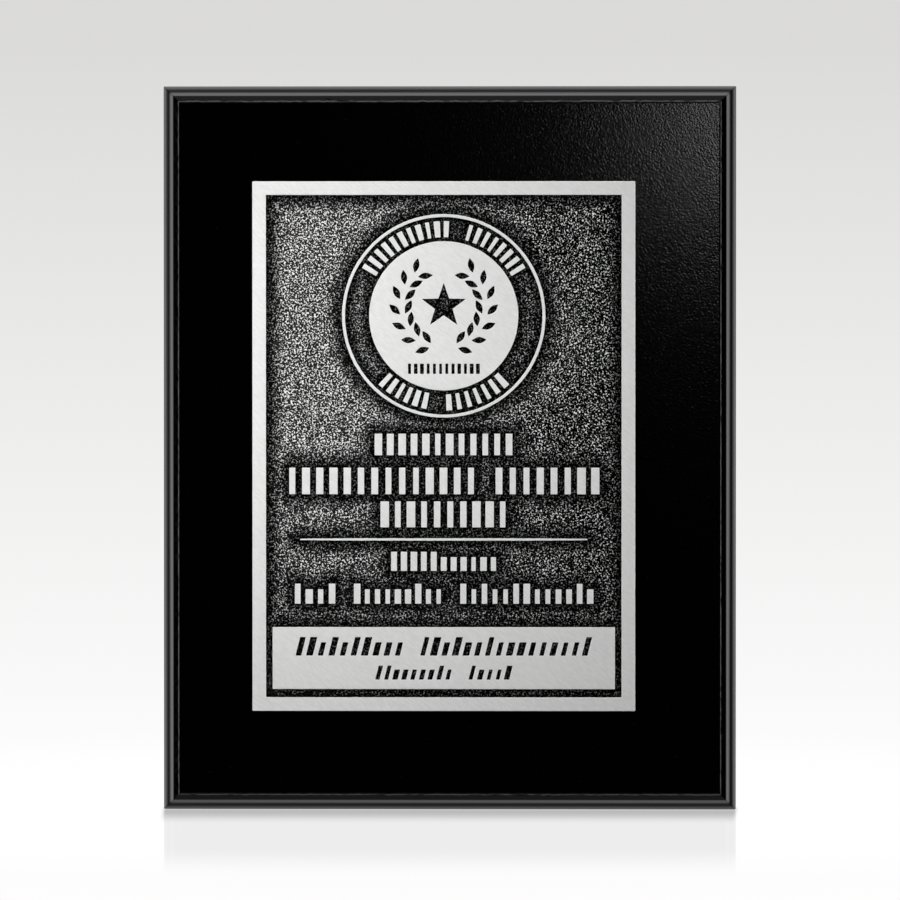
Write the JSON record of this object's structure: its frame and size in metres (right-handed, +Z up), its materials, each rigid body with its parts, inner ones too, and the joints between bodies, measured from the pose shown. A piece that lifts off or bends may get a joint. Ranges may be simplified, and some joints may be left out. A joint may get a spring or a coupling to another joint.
{
  "type": "wall plaque",
  "caption": "Upright wall plaque: a dark lacquered board with a moulded edge, and on it a metal plate with a raised border, round emblem, rows of strokes and a name panel.",
  "frame": {"origin": "centre of the board's flat back face, where it lies against the wall", "axes": "+Z up the plaque, +Y out of its back towards the wall, +X to the right seen from the front"},
  "size_m": [0.201, 0.0186, 0.254],
  "materials": {
    "board_lacquer": "black satin lacquer",
    "plate_metal": "pewter, satin on the raised faces and blackened in the stippled field"
  },
  "bodies": {
    "root": {"backing_board": "board_lacquer", "relief_plate": "plate_metal"}
  },
  "joints": []
}
